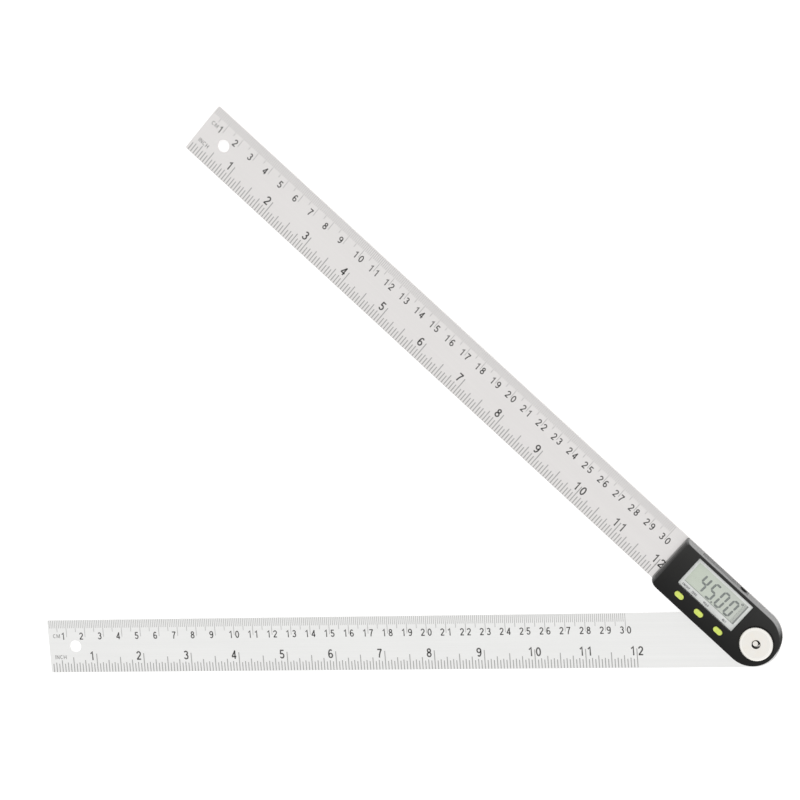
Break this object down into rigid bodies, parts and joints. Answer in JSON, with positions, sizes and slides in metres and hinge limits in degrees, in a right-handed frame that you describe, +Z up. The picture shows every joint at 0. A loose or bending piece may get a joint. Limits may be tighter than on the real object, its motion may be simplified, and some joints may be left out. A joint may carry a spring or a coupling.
{
  "type": "digital angle finder",
  "caption": "Flat angle finder: long graduated steel rules hinged at one end, with a black display housing, push buttons and a round knurled lock knob over the hinge.",
  "frame": {"origin": "on the hinge axis, at the rear face of the pivot stud, which is the lowest point", "axes": "+Z up, out of the display's face along the hinge axis; the lower rule runs along -X from the hinge; +Y towards the side on which the display arm opens"},
  "size_m": [0.3763, 0.2811, 0.0132],
  "materials": {
    "rule_steel": "brushed along the rule, satin, dark printed graduations",
    "stud_steel": "turned, satin",
    "washer_plastic": "smooth sheet",
    "spring_steel": "bare spring steel",
    "board_green": "solder mask",
    "bush_brass": "turned",
    "inner_plastic": "moulded, matt",
    "housing_plastic": "fine moulded texture",
    "window": "clear and flat",
    "frame_white": "printed white, satin",
    "display": "pale grey green liquid crystal",
    "chip_black": "moulded",
    "dome_film": "film over metal domes",
    "contact_metal": "nickel plated spring brass",
    "screw_steel": "dark zinc",
    "button_plastic": "soft yellow green",
    "cell_steel": "bright can",
    "knob_metal": "turned, satin, knurled rim"
  },
  "bodies": {
    "lower_arm": {"lower_rule": "rule_steel", "pivot_stud": "stud_steel", "blade_washer": "washer_plastic", "wave_washer": "spring_steel", "retaining_ring": "spring_steel", "encoder_rotor": "board_green"},
    "display_arm": {"display_rule": "rule_steel", "pivot_bush": "bush_brass", "base_plate": "inner_plastic", "front_housing": "housing_plastic", "window_lens": "window", "lcd_frame": "frame_white", "lcd_glass": "display", "circuit_board": "board_green", "controller_chip": "chip_black", "dome_sheet": "dome_film", "contact_negative": "contact_metal", "contact_positive": "contact_metal", "housing_screw_1": "screw_steel", "housing_screw_2": "screw_steel", "housing_screw_3": "screw_steel", "housing_screw_4": "screw_steel"},
    "left_button": {"button_left": "button_plastic"},
    "middle_button": {"button_middle": "button_plastic"},
    "right_button": {"button_right": "button_plastic"},
    "battery_drawer": {"battery_tray": "inner_plastic", "coin_cell": "cell_steel"},
    "knob": {"lock_knob": "knob_metal"}
  },
  "joints": [
    {"name": "arm_turn", "type": "hinge", "parent": "lower_arm", "child": "display_arm", "pos_m": [0, 0, 0.0029], "axis": [0, 0, -1], "continuous": true},
    {"name": "knob_turn", "type": "hinge", "parent": "lower_arm", "child": "knob", "pos_m": [0, 0, 0.012], "axis": [0, 0, 1], "range_deg": [0, 270]},
    {"name": "left_button_press", "type": "slide", "parent": "display_arm", "child": "left_button", "axis": [0, 0, -1], "range_m": [0, 0.0004], "stiffness_N_per_m": 1500},
    {"name": "middle_button_press", "type": "slide", "parent": "display_arm", "child": "middle_button", "axis": [0, 0, -1], "range_m": [0, 0.0004], "stiffness_N_per_m": 1500},
    {"name": "right_button_press", "type": "slide", "parent": "display_arm", "child": "right_button", "axis": [0, 0, -1], "range_m": [0, 0.0004], "stiffness_N_per_m": 1500},
    {"name": "battery_drawer_slide", "type": "slide", "parent": "display_arm", "child": "battery_drawer", "axis": [0.7071, 0.7071, 0], "range_m": [0, 0.022]}
  ]
}
